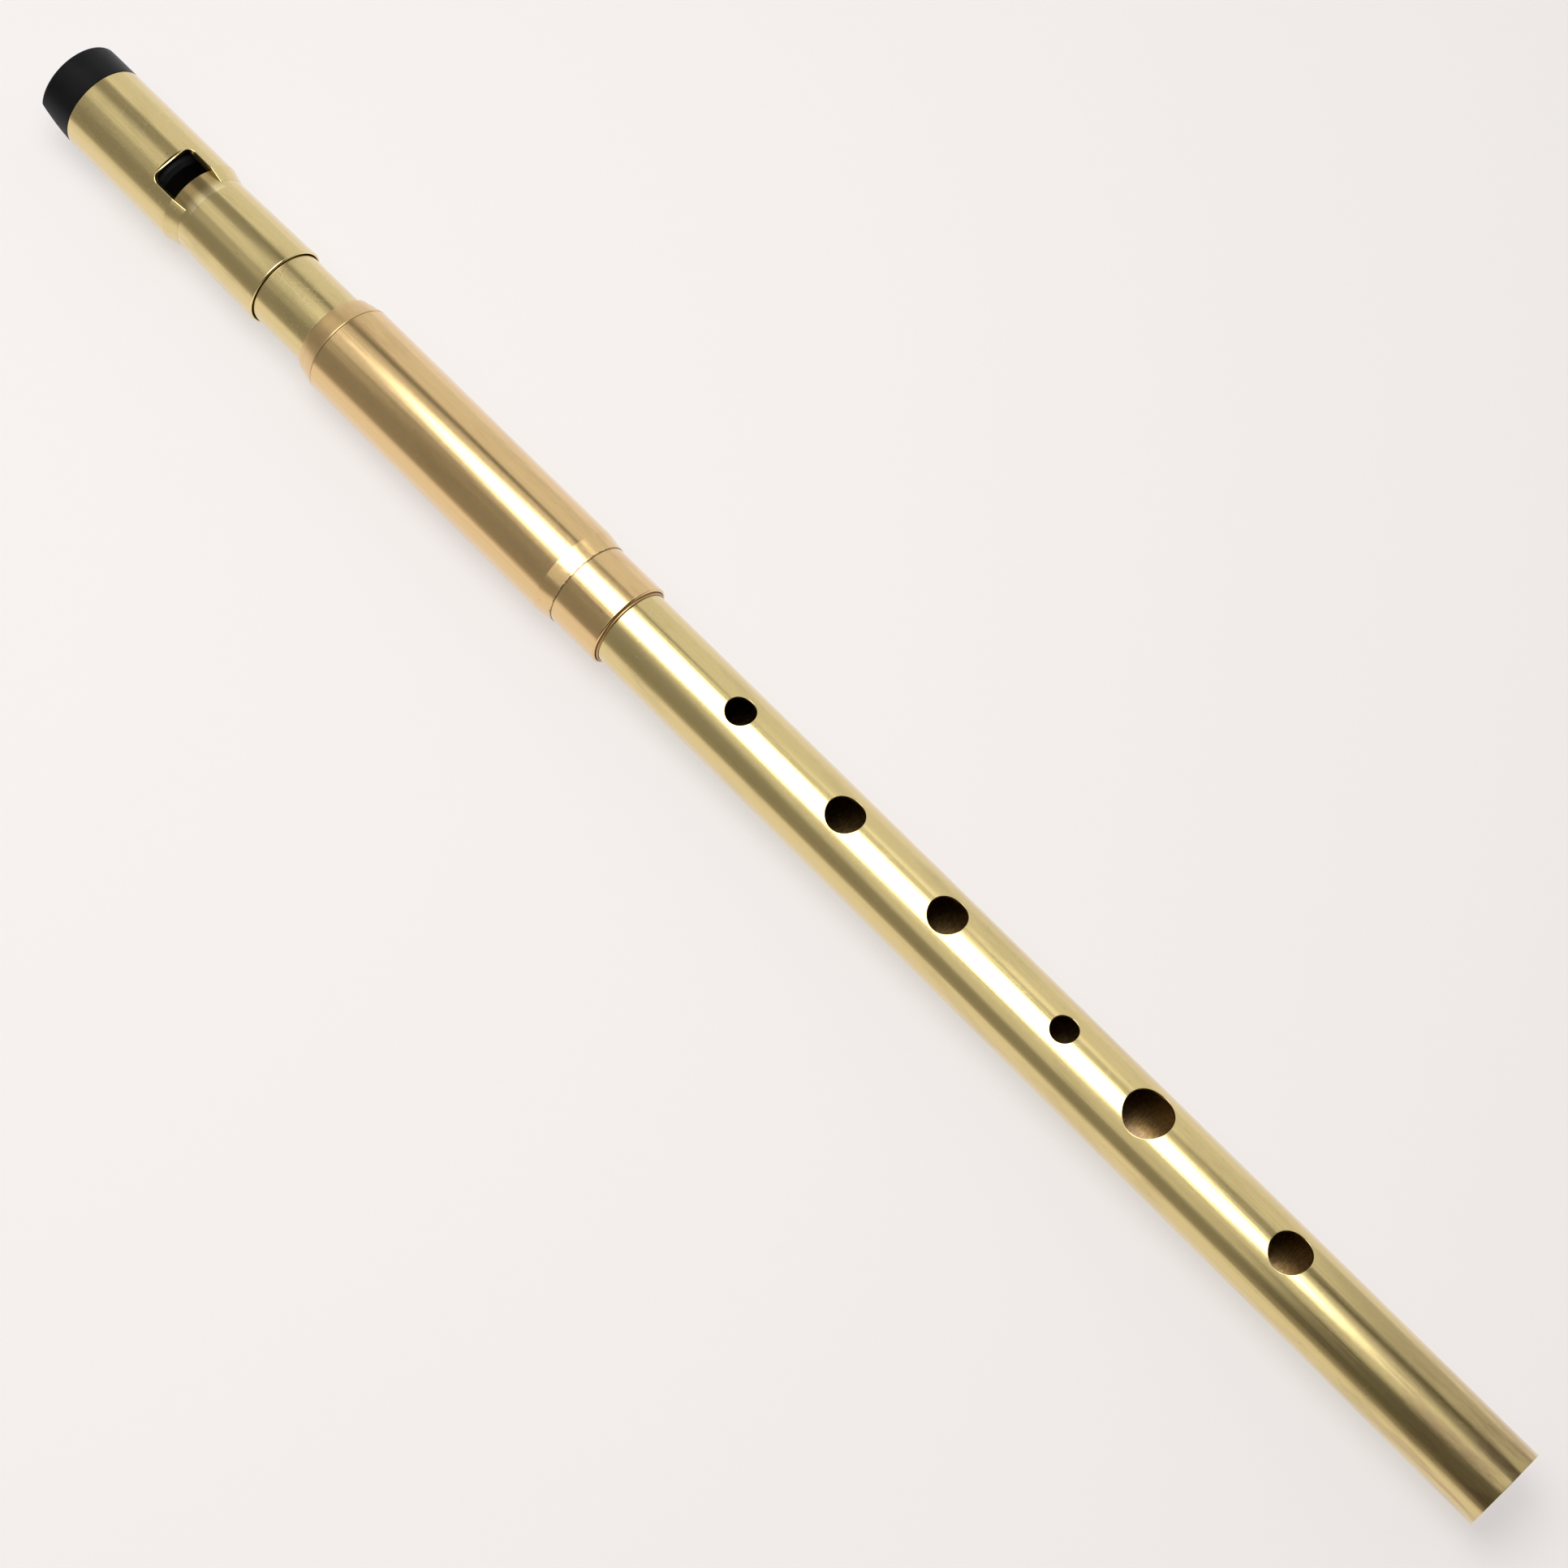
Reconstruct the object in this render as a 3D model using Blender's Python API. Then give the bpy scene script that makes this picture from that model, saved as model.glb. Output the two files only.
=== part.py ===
"""Low whistle: a long six-hole brass flute with a fipple head, tuned to low D.

The whistle lies along X with its foot at +X and its finger holes facing up.
The origin is on the surface it lies on, under the middle of its length.
Every turned piece is drawn as an outline of (distance from the foot, radius)
and swept round the bore axis. All sizes are in metres.
"""

import math

import bmesh
import bpy

# Facets round every turned piece, and round each finger hole.
SIDES = 32
HOLE_SIDES = 32
ARC_STEPS = 4
SCOOP_STEPS = 9

# Clearances. A running fit lets a tube turn or slide freely, a seat is the gap
# between two butted ends, and a slip is the close fit of one tube in another.
RUNNING_FIT = 0.0003
SEAT_GAP = 0.0003
SLIP_FIT = 0.0002

# Body tube: one inch outside, with six finger holes. Each hole is its
# distance from the foot and its diameter, the player's first finger first.
BODY_RADIUS = 0.0127
BODY_WALL = 0.00075
BODY_SHOWN = 0.3404
TONE_HOLES = (
    (0.2955, 0.0092),
    (0.2525, 0.0116),
    (0.2116, 0.0116),
    (0.1661, 0.0083),
    (0.1338, 0.0145),
    (0.0811, 0.0123),
)

# Tenon sleeve, soldered over the top of the body tube. It stands a little
# out of the collar as a narrow rounded ring.
TENON_WALL = 0.0003
TENON_LENGTH = 0.0556
TENON_SHOWN = 0.0007

# Joint tube: takes the tenon from below and the tuning tube from above. Its
# lower end is the collar with a rounded lip.
JOINT_TUBE_WALL = 0.0008
COLLAR_SHOWN = 0.0182

# Joint sleeve, soldered over the joint tube, coned down to it at the bottom.
SLEEVE_WALL = 0.0010
SLEEVE_STRAIGHT = 0.1007
CONE_LENGTH = 0.0060
CONE_EDGE = 0.00015

# End ring: closes the top of the joint and guides the tuning tube.
RING_LAND = 0.0002
RING_CONE = 0.0062
RING_NOSE_WALL = 0.0010
RING_NOSE_ROUND = 0.00045
SPIGOT_LENGTH = 0.025

# Tuning tube: turns in the end ring, and the head slides on its upper end.
TUNING_RADIUS = 0.0126
TUNING_WALL = 0.0007
TUNING_SHOWN = 0.0227
TUNING_IN_HEAD = 0.016
TUBE_END_GAP = 0.0005

# Head tube: the neck below the window, the blade, and the tube round the plug.
# The neck widens towards its rim, where the tuning tube goes in.
HEAD_TUBE_WALL = 0.0006
NECK_RIM_FIT = 0.00045
NECK_WIDENING = 0.0006
NECK_LENGTH = 0.03535
RAMP_LENGTH = 0.00835
BLADE_ABOVE_SHOULDER = 0.00035
BLADE_THICKNESS = 0.0002

# Head sleeve: the outer tube that roofs the windway, drawn in to the neck.
HEAD_SLEEVE_WALL = 0.00125
SHOULDER_LENGTH = 0.0053
SHOULDER_EDGE = 0.00015
WINDOW_WIDTH = 0.0154
WINDOW_LENGTH = 0.0093
WINDOW_CORNER = 0.0025
HEAD_SLEEVE_ABOVE_WINDOW = 0.0365

# Plug: fills the head, with the windway over it and a scooped underside.
NOSE_LENGTH = 0.0126
NOSE_ROUND = 0.0010
WINDWAY_WIDTH = 0.0138
WINDWAY_HEIGHT_IN = 0.0020
WINDWAY_HEIGHT_OUT = 0.0015
FLOOR_IN_WINDOW = 0.0012
PLUG_CHAMFER = 0.0020
BEAK_TIP_HEIGHT = 0.0052
BEAK_TIP_SLOPE = math.radians(23)
BEAK_SCOOP_RADIUS = 0.112

# The head is turned on the tuning tube, so that its window leans to one side.
HEAD_TWIST = math.radians(12.3)

# Small deburring on the tube ends, and how far a cutter runs past its cut.
EDGE_BREAK = 0.00015
OVERCUT = 0.002

# Radii that follow, from the body tube outwards and then up to the head.
BODY_BORE = BODY_RADIUS - BODY_WALL
TENON_BORE = BODY_RADIUS + SLIP_FIT
TENON_RADIUS = TENON_BORE + TENON_WALL
JOINT_BORE = TENON_RADIUS + SLIP_FIT
COLLAR_RADIUS = JOINT_BORE + JOINT_TUBE_WALL
SLEEVE_BORE = COLLAR_RADIUS + SLIP_FIT
SLEEVE_RADIUS = SLEEVE_BORE + SLEEVE_WALL
TUNING_BORE = TUNING_RADIUS - TUNING_WALL
RING_BORE = TUNING_RADIUS + RUNNING_FIT
RING_NOSE_RADIUS = RING_BORE + RING_NOSE_WALL
SPIGOT_RADIUS = JOINT_BORE - SLIP_FIT
NECK_RIM_RADIUS = TUNING_RADIUS + NECK_RIM_FIT + HEAD_TUBE_WALL
HEAD_TUBE_RADIUS = NECK_RIM_RADIUS - NECK_WIDENING
HEAD_TUBE_BORE = HEAD_TUBE_RADIUS - HEAD_TUBE_WALL
HEAD_SLEEVE_BORE = HEAD_TUBE_RADIUS + SLIP_FIT
HEAD_RADIUS = HEAD_SLEEVE_BORE + HEAD_SLEEVE_WALL
PLUG_RADIUS = HEAD_TUBE_BORE - SLIP_FIT

# The window's side walls, and the slot's under them, point at the bore axis.
WINDOW_HALF_ANGLE = math.asin(WINDOW_WIDTH / 2 / HEAD_RADIUS)

# Distances from the foot, one end of a piece after the other.
BODY_TOP = BODY_SHOWN + TENON_LENGTH
COLLAR_END = BODY_SHOWN + TENON_SHOWN
CONE_SMALL_END = COLLAR_END + COLLAR_SHOWN
CONE_LARGE_END = CONE_SMALL_END + CONE_LENGTH
SLEEVE_TOP = CONE_LARGE_END + SLEEVE_STRAIGHT
RING_SEAT = SLEEVE_TOP + SEAT_GAP
RING_NOSE = RING_SEAT + RING_LAND + RING_CONE + RING_NOSE_ROUND
HEAD_RIM = RING_NOSE + TUNING_SHOWN
TUNING_BOTTOM = BODY_TOP + TUBE_END_GAP
TUNING_TOP = HEAD_RIM + TUNING_IN_HEAD
SHOULDER_END = HEAD_RIM + NECK_LENGTH
BLADE = SHOULDER_END + SHOULDER_LENGTH + BLADE_ABOVE_SHOULDER
RAMP_FOOT = BLADE - RAMP_LENGTH
WINDOW_TOP = BLADE + WINDOW_LENGTH
HEAD_TUBE_END = WINDOW_TOP + HEAD_SLEEVE_ABOVE_WINDOW
NOSE_BACK = HEAD_TUBE_END + SEAT_GAP
MOUTH_END = NOSE_BACK + NOSE_LENGTH

# The sleeve is the thickest piece, so the whistle lies on its lowest facet.
AXIS_HEIGHT = SLEEVE_RADIUS * math.cos(math.pi / SIDES)

# Colours, with roughness and metallic values.
BRASS = ((0.71, 0.60, 0.33, 1.0), 0.28, 1.0)
WARM_BRASS = ((0.74, 0.55, 0.29, 1.0), 0.32, 1.0)
BLACK_PLASTIC = ((0.035, 0.035, 0.037, 1.0), 0.48, 0.0)


def station(distance):
    """The X of a place given by its distance from the foot."""
    return MOUTH_END / 2 - distance


def clear_scene():
    for scene_object in list(bpy.data.objects):
        bpy.data.objects.remove(scene_object, do_unlink=True)


def finish_material(name, finish):
    colour, roughness, metallic = finish
    material = bpy.data.materials.new(name)
    material.use_nodes = True
    shader = material.node_tree.nodes["Principled BSDF"]
    shader.inputs["Base Color"].default_value = colour
    shader.inputs["Roughness"].default_value = roughness
    shader.inputs["Metallic"].default_value = metallic
    return material


def arc(centre, radius, start, end, steps):
    """Points on an arc about (distance, radius) centre, from start to end angle."""
    span = end - start
    return [
        (
            centre[0] + radius * math.cos(start + span * step / steps),
            centre[1] + radius * math.sin(start + span * step / steps),
        )
        for step in range(steps + 1)
    ]


def mesh_object(name, mesh_data, parent=None):
    """Turn a bmesh into an object on the bore axis, under a parent if it has one."""
    bmesh.ops.recalc_face_normals(mesh_data, faces=mesh_data.faces)
    mesh = bpy.data.meshes.new(name)
    mesh_data.to_mesh(mesh)
    mesh_data.free()
    mesh.shade_smooth()
    mesh.set_sharp_from_angle(angle=math.radians(30))
    piece = bpy.data.objects.new(name, mesh)
    bpy.context.scene.collection.objects.link(piece)
    if parent is None:
        piece.location = (0, 0, AXIS_HEIGHT)
    else:
        piece.parent = parent
    return piece


def turned(name, outline, parent=None):
    """Sweep a closed outline of (distance, radius) points round the bore axis."""
    shape = bmesh.new()
    half_facet = math.pi / SIDES
    points = []
    for distance, radius in outline:
        across = -radius * math.sin(half_facet)
        down = -radius * math.cos(half_facet)
        points.append(shape.verts.new((station(distance), across, down)))
    edges = [shape.edges.new((points[i - 1], points[i])) for i in range(len(points))]
    bmesh.ops.spin(
        shape,
        geom=points + edges,
        cent=(0, 0, 0),
        axis=(1, 0, 0),
        angle=2 * math.pi,
        steps=SIDES,
        use_merge=True,
    )
    bmesh.ops.remove_doubles(shape, verts=shape.verts, dist=1e-6)
    bmesh.ops.dissolve_degenerate(shape, edges=shape.edges, dist=1e-6)
    return mesh_object(name, shape, parent)


def extruded(name, places, move, stretch, parent):
    """Extrude a face through its corner places by a move and a stretch."""
    shape = bmesh.new()
    face = shape.faces.new([shape.verts.new(place) for place in places])
    result = bmesh.ops.extrude_face_region(shape, geom=[face])
    lifted = [item for item in result["geom"] if isinstance(item, bmesh.types.BMVert)]
    bmesh.ops.scale(shape, verts=lifted, vec=stretch)
    bmesh.ops.translate(shape, verts=lifted, vec=move)
    return mesh_object(name, shape, parent)


def upright_prism(name, outline, low, high, parent):
    """Extrude an outline of (distance, across) points from low to high in Z."""
    places = [(station(distance), across, low) for distance, across in outline]
    return extruded(name, places, (0, 0, high - low), (1, 1, 1), parent)


def radial_wedge(name, outline, low, high, parent):
    """Extrude an outline of (distance, slope) points, its sides leaving the axis.

    The slope is how far a side stands across for each unit of height.
    """
    places = [(station(distance), slope * low, low) for distance, slope in outline]
    spread = high / low
    return extruded(name, places, (0, 0, high - low), (1, spread, 1), parent)


def crossways_prism(name, outline, reach, parent):
    """Extrude an outline of (distance, height) points to both sides in Y."""
    places = [(station(distance), -reach, height) for distance, height in outline]
    return extruded(name, places, (0, 2 * reach, 0), (1, 1, 1), parent)


def as_cutter(piece):
    piece.hide_render = True
    piece.display_type = "WIRE"
    return piece


def combine(piece, other, operation):
    """Put a live boolean of another object on a piece."""
    modifier = piece.modifiers.new(operation.lower() + "_" + other.name, "BOOLEAN")
    modifier.operation = operation
    modifier.solver = "EXACT"
    modifier.object = other


def bore_slot(name, outline, half_width, sides, parent):
    """A cutter whose floor and roof follow the bore, kept between two side walls."""
    ring = as_cutter(turned(name, outline, parent))
    ends = [distance for distance, radius in outline]
    low, high = min(ends) - OVERCUT, max(ends) + OVERCUT
    strip = [(low, -half_width), (high, -half_width), (high, half_width), (low, half_width)]
    top = max(radius for distance, radius in outline) + OVERCUT
    keep = as_cutter(sides(name + "_width", strip, TUNING_BORE / 2, top, parent))
    combine(ring, keep, "INTERSECT")
    return ring


def tube_outline(low, high, bore, radius):
    """A plain tube with its four end edges lightly broken."""
    return [
        (low, bore + EDGE_BREAK),
        (low, radius - EDGE_BREAK),
        (low + EDGE_BREAK, radius),
        (high - EDGE_BREAK, radius),
        (high, radius - EDGE_BREAK),
        (high, bore + EDGE_BREAK),
        (high - EDGE_BREAK, bore),
        (low + EDGE_BREAK, bore),
    ]


def make_body_tube():
    body = turned("body_tube", tube_outline(0, BODY_TOP, BODY_BORE, BODY_RADIUS))
    holes = bmesh.new()
    for distance, diameter in TONE_HOLES:
        drill = bmesh.ops.create_cone(
            holes,
            cap_ends=True,
            segments=HOLE_SIDES,
            radius1=diameter / 2,
            radius2=diameter / 2,
            depth=BODY_RADIUS + OVERCUT,
        )
        middle = (BODY_RADIUS + OVERCUT) / 2
        bmesh.ops.translate(holes, verts=drill["verts"], vec=(station(distance), 0, middle))
    drills = as_cutter(mesh_object("tone_hole_drills", holes))
    combine(body, drills, "DIFFERENCE")
    return body


def make_tenon_sleeve():
    lip = TENON_WALL - EDGE_BREAK
    rounded = arc((BODY_SHOWN + lip, TENON_RADIUS - lip), lip, math.pi, math.pi / 2, ARC_STEPS)
    outline = [
        (BODY_SHOWN, TENON_BORE),
        *rounded,
        (BODY_TOP - EDGE_BREAK, TENON_RADIUS),
        (BODY_TOP, TENON_RADIUS - EDGE_BREAK),
        (BODY_TOP, TENON_BORE),
    ]
    return turned("tenon_sleeve", outline)


def make_joint_tube():
    lip = JOINT_TUBE_WALL - EDGE_BREAK
    rounded = arc((COLLAR_END + lip, COLLAR_RADIUS - lip), lip, math.pi, math.pi / 2, ARC_STEPS)
    outline = [
        (COLLAR_END, JOINT_BORE),
        *rounded,
        (SLEEVE_TOP, COLLAR_RADIUS),
        (SLEEVE_TOP, JOINT_BORE),
    ]
    return turned("joint_tube", outline)


def make_joint_sleeve():
    outline = [
        (CONE_SMALL_END, SLEEVE_BORE),
        (CONE_SMALL_END, SLEEVE_BORE + CONE_EDGE),
        (CONE_LARGE_END, SLEEVE_RADIUS),
        (SLEEVE_TOP - EDGE_BREAK, SLEEVE_RADIUS),
        (SLEEVE_TOP, SLEEVE_RADIUS - EDGE_BREAK),
        (SLEEVE_TOP, SLEEVE_BORE),
    ]
    return turned("joint_sleeve", outline)


def make_end_ring():
    nose = RING_NOSE - RING_NOSE_ROUND
    centre = (nose, RING_NOSE_RADIUS - RING_NOSE_ROUND)
    rounded = arc(centre, RING_NOSE_ROUND, math.pi / 2, 0, ARC_STEPS)
    outline = [
        (RING_SEAT - SPIGOT_LENGTH, RING_BORE),
        (RING_SEAT - SPIGOT_LENGTH, SPIGOT_RADIUS - EDGE_BREAK),
        (RING_SEAT - SPIGOT_LENGTH + EDGE_BREAK, SPIGOT_RADIUS),
        (RING_SEAT, SPIGOT_RADIUS),
        (RING_SEAT, SLEEVE_RADIUS - EDGE_BREAK),
        (RING_SEAT + EDGE_BREAK, SLEEVE_RADIUS),
        (RING_SEAT + RING_LAND, SLEEVE_RADIUS),
        *rounded,
        (RING_NOSE, RING_BORE),
    ]
    return turned("end_ring", outline)


def make_tuning_tube():
    outline = tube_outline(TUNING_BOTTOM, TUNING_TOP, TUNING_BORE, TUNING_RADIUS)
    return turned("tuning_tube", outline)


def make_head_tube(head):
    lip = HEAD_TUBE_WALL - EDGE_BREAK
    rounded = arc((HEAD_RIM + lip, NECK_RIM_RADIUS - lip), lip, math.pi, math.pi / 2, ARC_STEPS)
    outline = [
        (HEAD_RIM, NECK_RIM_RADIUS - HEAD_TUBE_WALL),
        *rounded,
        (SHOULDER_END, HEAD_TUBE_RADIUS),
        (HEAD_TUBE_END, HEAD_TUBE_RADIUS),
        (HEAD_TUBE_END, HEAD_TUBE_BORE),
        (SHOULDER_END, HEAD_TUBE_BORE),
    ]
    tube = turned("head_tube", outline, head)
    combine(tube, make_blade_cutter(head), "DIFFERENCE")
    return tube


def make_blade_cutter(head):
    """The windway's slot through the tube, and the ramp that leaves the blade.

    The ramp falls from the neck's face to the thin edge that the slot ends at.
    """
    below = RAMP_FOOT - OVERCUT
    above = HEAD_TUBE_END + OVERCUT
    widening = NECK_WIDENING / NECK_LENGTH
    ramp_top = HEAD_TUBE_RADIUS + widening * (SHOULDER_END - RAMP_FOOT)
    blade_face = HEAD_TUBE_BORE + BLADE_THICKNESS
    slope = (ramp_top - blade_face) / RAMP_LENGTH
    outline = [
        (below, ramp_top + slope * OVERCUT),
        (BLADE, blade_face),
        (BLADE, HEAD_TUBE_BORE - OVERCUT),
        (above, HEAD_TUBE_BORE - OVERCUT),
        (above, HEAD_TUBE_RADIUS + OVERCUT),
        (below, HEAD_TUBE_RADIUS + OVERCUT),
    ]
    half = math.tan(WINDOW_HALF_ANGLE)
    return bore_slot("blade_cutter", outline, half, radial_wedge, head)


def make_head_sleeve(head):
    outline = [
        (SHOULDER_END, HEAD_SLEEVE_BORE),
        (SHOULDER_END, HEAD_SLEEVE_BORE + SHOULDER_EDGE),
        (SHOULDER_END + SHOULDER_LENGTH, HEAD_RADIUS),
        (HEAD_TUBE_END - EDGE_BREAK, HEAD_RADIUS),
        (HEAD_TUBE_END, HEAD_RADIUS - EDGE_BREAK),
        (HEAD_TUBE_END, HEAD_SLEEVE_BORE),
    ]
    sleeve = turned("head_sleeve", outline, head)
    height = HEAD_RADIUS * math.cos(WINDOW_HALF_ANGLE)
    half = WINDOW_WIDTH / 2
    inner = WINDOW_TOP - WINDOW_CORNER
    quarter = math.pi / 2
    window = [
        (SHOULDER_END - OVERCUT, half),
        *arc((inner, half - WINDOW_CORNER), WINDOW_CORNER, quarter, 0, ARC_STEPS),
        *arc((inner, WINDOW_CORNER - half), WINDOW_CORNER, 0, -quarter, ARC_STEPS),
        (SHOULDER_END - OVERCUT, -half),
    ]
    slopes = [(distance, across / height) for distance, across in window]
    top = HEAD_RADIUS + OVERCUT
    cutter = radial_wedge("window_cutter", slopes, TUNING_BORE / 2, top, head)
    combine(sleeve, as_cutter(cutter), "DIFFERENCE")
    return sleeve


def make_fipple_plug(head):
    front = WINDOW_TOP - FLOOR_IN_WINDOW - PLUG_CHAMFER + (
        PLUG_RADIUS - (HEAD_SLEEVE_BORE - WINDWAY_HEIGHT_OUT)
    )
    rounded = arc(
        (MOUTH_END - NOSE_ROUND, HEAD_RADIUS - NOSE_ROUND), NOSE_ROUND, math.pi / 2, 0, ARC_STEPS
    )
    outline = [
        (front, 0),
        (front, PLUG_RADIUS - PLUG_CHAMFER),
        (front + PLUG_CHAMFER, PLUG_RADIUS),
        (NOSE_BACK, PLUG_RADIUS),
        (NOSE_BACK, HEAD_RADIUS),
        *rounded,
        (MOUTH_END, 0),
    ]
    plug = turned("fipple_plug", outline, head)
    windway = [
        (front - OVERCUT, HEAD_SLEEVE_BORE - WINDWAY_HEIGHT_OUT),
        (WINDOW_TOP, HEAD_SLEEVE_BORE - WINDWAY_HEIGHT_OUT),
        (MOUTH_END + OVERCUT, HEAD_SLEEVE_BORE - WINDWAY_HEIGHT_IN),
        (MOUTH_END + OVERCUT, HEAD_SLEEVE_BORE),
        (front - OVERCUT, HEAD_SLEEVE_BORE),
    ]
    half = WINDWAY_WIDTH / 2
    cutter = bore_slot("windway_cutter", windway, half, upright_prism, head)
    combine(plug, cutter, "DIFFERENCE")
    return plug


def make_beak_cutter(head):
    """The scoop under the mouth end: a large arc that thins the beak to its tip."""
    centre = (
        MOUTH_END + BEAK_SCOOP_RADIUS * math.sin(BEAK_TIP_SLOPE),
        BEAK_TIP_HEIGHT - BEAK_SCOOP_RADIUS * math.cos(BEAK_TIP_SLOPE),
    )
    past_tip = math.asin(math.sin(BEAK_TIP_SLOPE) - OVERCUT / BEAK_SCOOP_RADIUS)
    bottom = -HEAD_RADIUS - OVERCUT
    deepest = math.acos((bottom - centre[1]) / BEAK_SCOOP_RADIUS)
    quarter = math.pi / 2
    outline = arc(
        centre, BEAK_SCOOP_RADIUS, quarter + past_tip, quarter + deepest, SCOOP_STEPS
    )
    outline.append((MOUTH_END + OVERCUT, bottom))
    return as_cutter(crossways_prism("beak_cutter", outline, HEAD_RADIUS + OVERCUT, head))


def make_head():
    """The plug and the two head tubes, under an empty that sets the head's twist."""
    head = bpy.data.objects.new("head_axis", None)
    bpy.context.scene.collection.objects.link(head)
    head.location = (0, 0, AXIS_HEIGHT)
    head.rotation_euler = (HEAD_TWIST, 0, 0)
    plug = make_fipple_plug(head)
    tube = make_head_tube(head)
    sleeve = make_head_sleeve(head)
    scoop = make_beak_cutter(head)
    for piece in (plug, tube, sleeve):
        combine(piece, scoop, "DIFFERENCE")
    return plug, tube, sleeve


def main():
    clear_scene()
    plug, head_tube, head_sleeve = make_head()
    pieces = {
        plug: BLACK_PLASTIC,
        head_tube: BRASS,
        head_sleeve: BRASS,
        make_tuning_tube(): BRASS,
        make_end_ring(): WARM_BRASS,
        make_joint_sleeve(): WARM_BRASS,
        make_joint_tube(): WARM_BRASS,
        make_tenon_sleeve(): WARM_BRASS,
        make_body_tube(): BRASS,
    }
    for piece, finish in pieces.items():
        piece.data.materials.append(finish_material(piece.name + "_finish", finish))


main()
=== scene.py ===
"""Low whistle: the dressed model of a long brass fipple flute on a pale studio floor.

The whistle lies along X with its foot at +X. Turned pieces are outlines of
(distance from the foot, radius) swept round the bore axis, and the head's
pieces are turned a little on that axis when they are finished.
"""

import math

import bmesh
import bpy
from bpy.props import FloatProperty, FloatVectorProperty, PointerProperty
from bpy.types import Operator, Panel, PropertyGroup
from mathutils import Matrix, Vector


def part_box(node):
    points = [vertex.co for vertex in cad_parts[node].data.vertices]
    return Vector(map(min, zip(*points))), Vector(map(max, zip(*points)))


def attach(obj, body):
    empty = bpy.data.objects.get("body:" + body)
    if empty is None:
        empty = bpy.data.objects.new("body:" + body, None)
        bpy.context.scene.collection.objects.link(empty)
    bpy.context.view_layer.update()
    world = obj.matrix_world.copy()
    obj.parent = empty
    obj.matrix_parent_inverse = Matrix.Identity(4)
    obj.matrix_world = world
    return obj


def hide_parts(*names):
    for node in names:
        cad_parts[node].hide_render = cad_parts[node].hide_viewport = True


bl_info = {
    "name": "Low Whistle",
    "version": (1, 0, 0),
    "blender": (4, 5, 0),
    "location": "3D View > Sidebar > Whistle",
    "description": "Builds a brass low whistle with its studio",
    "category": "Add Mesh",
}

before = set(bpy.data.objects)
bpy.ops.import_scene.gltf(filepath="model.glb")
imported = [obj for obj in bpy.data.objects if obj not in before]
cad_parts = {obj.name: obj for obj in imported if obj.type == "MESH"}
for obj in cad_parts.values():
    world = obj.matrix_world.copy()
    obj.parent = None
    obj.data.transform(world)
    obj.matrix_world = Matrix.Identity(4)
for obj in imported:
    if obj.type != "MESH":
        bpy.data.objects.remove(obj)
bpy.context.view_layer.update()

# Facets round each turned piece and each finger hole.
FACETS = 192
HOLE_FACETS = 72

# Steps of an arc: usual, at a small edge, at a window corner, along the scoop,
# and along the window's straight sides.
ARC_STEPS = 6
EDGE_STEPS = 3
CORNER_STEPS = 8
SCOOP_STEPS = 48
SIDE_STEPS = 24

# Rings of a turned wall: one close beside each corner, others along its length.
CORNER_RING = 0.00012
RING_SPACING = 0.012

# How far a cutter runs past the wall that it cuts, and the gap left at a butted seat.
OVERCUT = 0.002
SEAT = 0.0001

# The rounded rim of a cut runs on outwards at this angle in degrees, for this far.
FLARE_TILT = 15
FLARE_RUN = 0.0003

# Small measures that several pieces share: the film between soldered tubes, the
# clearance of a fitted tube, the rounding of a small edge, and the flat by a lip.
SKIN = 0.00002
CLEARANCE = 0.0002
EDGE = 0.00015
LAND = 0.0001

# Points closer than this are merged.
WELD = 1e-7

# Outside radius of the body tube, from which the camera's distance is measured too.
BODY_RADIUS = 0.0127

# How shade_round knows its faces. Edges sharper than SHARP_EDGE stay crisp. A face
# that leans round the bore by more than CUT_LEAN is the side of a cut. A wall is
# straight up to STRAIGHT_LEAN along X, and a cone up to CONE_LEAN and over CONE_REACH.
SHARP_EDGE = math.radians(28)
CUT_LEAN = 0.08
STRAIGHT_LEAN = 0.01
CONE_LEAN = 0.5
CONE_REACH = 0.0003


def length(name, description, default):
    return FloatProperty(
        name=name, description=description, default=default, unit="LENGTH", precision=5, min=0.0
    )


def colour(name, description, default):
    return FloatVectorProperty(
        name=name, description=description, default=default, subtype="COLOR", min=0.0, max=1.0
    )


class BodySizes(PropertyGroup):
    radius: length("Radius", "Outside radius of the body tube", BODY_RADIUS)
    wall: length("Wall", "Thickness of the body tube", 0.00075)
    hole_places: FloatVectorProperty(
        name="Hole places",
        description="Distance of each finger hole from the foot, the highest hole first",
        size=6,
        default=(0.2955, 0.2525, 0.2116, 0.1661, 0.1338, 0.0811),
        unit="LENGTH",
        precision=4,
    )
    hole_diameters: FloatVectorProperty(
        name="Hole diameters",
        description="Diameter of each finger hole, the highest hole first",
        size=6,
        default=(0.0092, 0.0116, 0.0116, 0.0083, 0.0145, 0.0123),
        unit="LENGTH",
        precision=4,
    )
    hole_edge: length("Hole edge", "Rounding of the finger holes' rims", 0.00022)
    tenon_wall: length("Tenon wall", "Thickness of the sleeve on the tenon", 0.0003)
    end_edge: length("End edge", "Rounding of the tube ends", 0.00015)


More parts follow.
